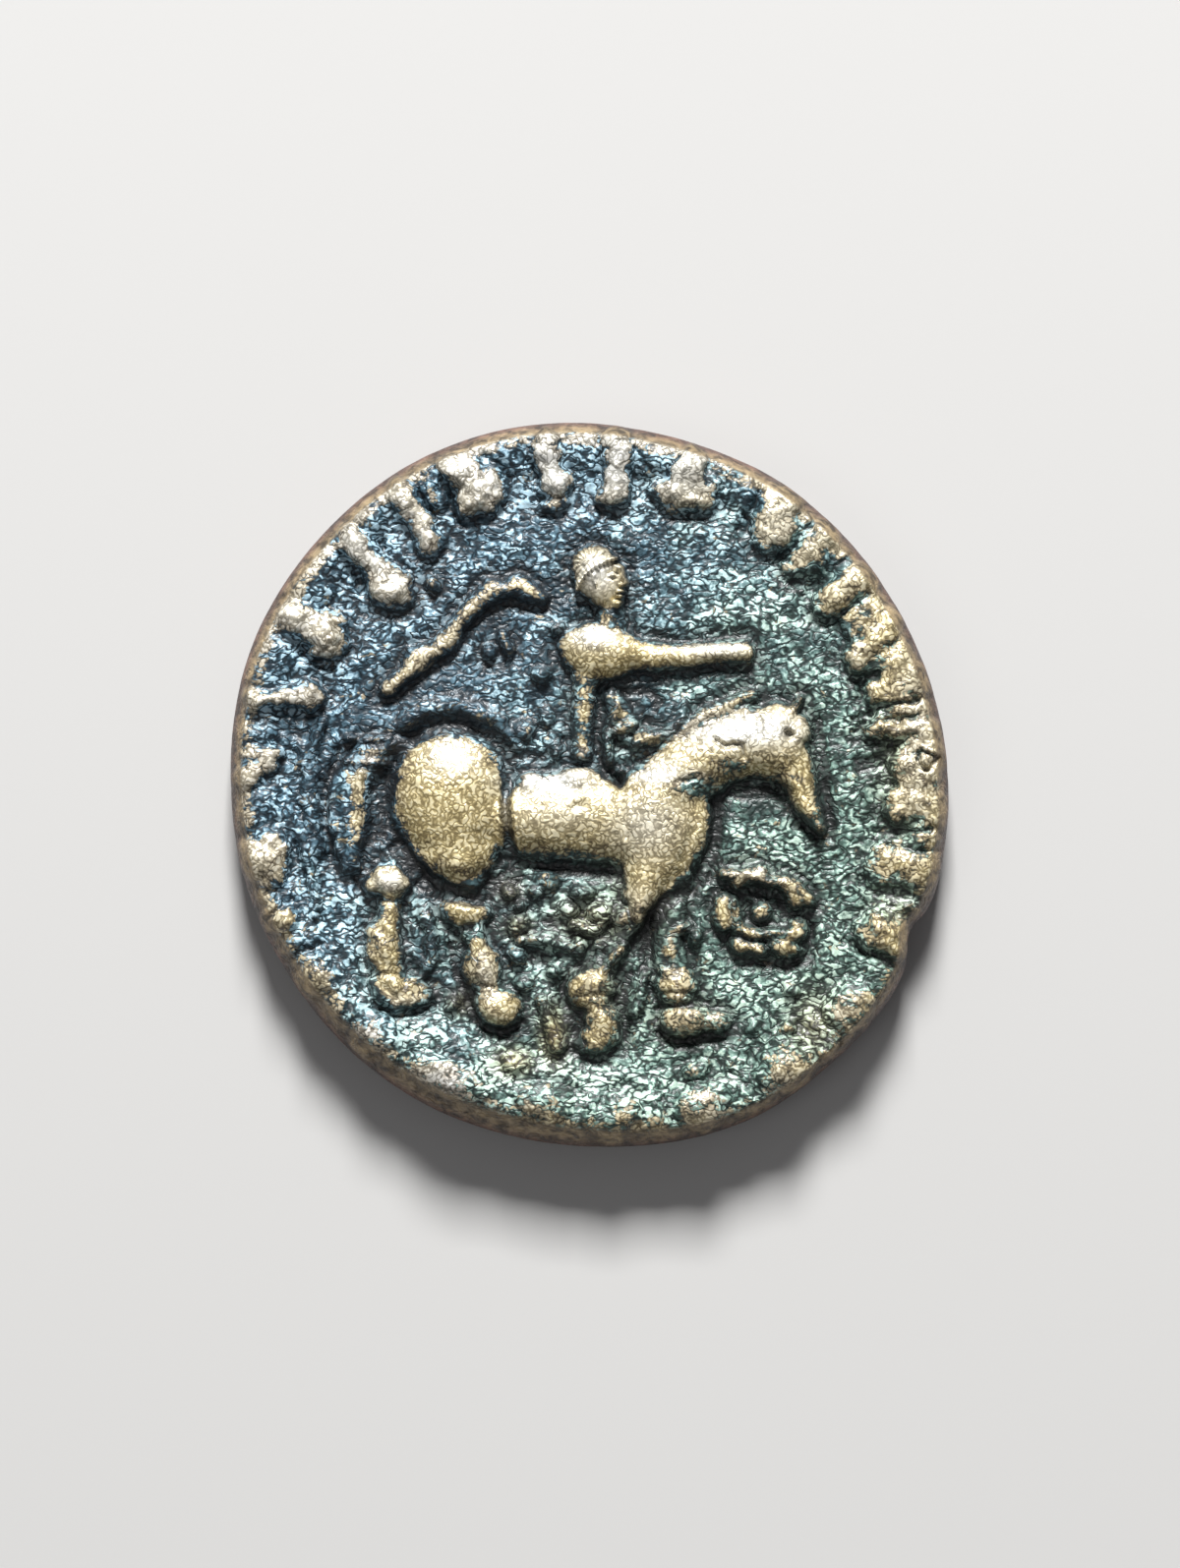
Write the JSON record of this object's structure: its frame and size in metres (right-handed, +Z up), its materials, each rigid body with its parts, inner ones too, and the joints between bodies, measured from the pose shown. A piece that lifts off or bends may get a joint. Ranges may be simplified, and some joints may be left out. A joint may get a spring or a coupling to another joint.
{
  "type": "ancient silver drachm",
  "caption": "Small worn ancient silver coin: horse and rider in relief inside a ring of legend strokes, toned dark in its hollows, lying on its reverse.",
  "frame": {"origin": "middle of the flan, on the surface that the coin lies on", "axes": "+Z up out of the horse-and-rider face, +X the way the horse walks, +Y from the horse's feet to the rider's head"},
  "size_m": [0.015, 0.015, 0.0019],
  "materials": {
    "toned_silver": "worn debased silver, tan and satin on the high points, blue-black patina in the hollows, brown edge"
  },
  "bodies": {
    "root": {"coin": "toned_silver"}
  },
  "joints": []
}
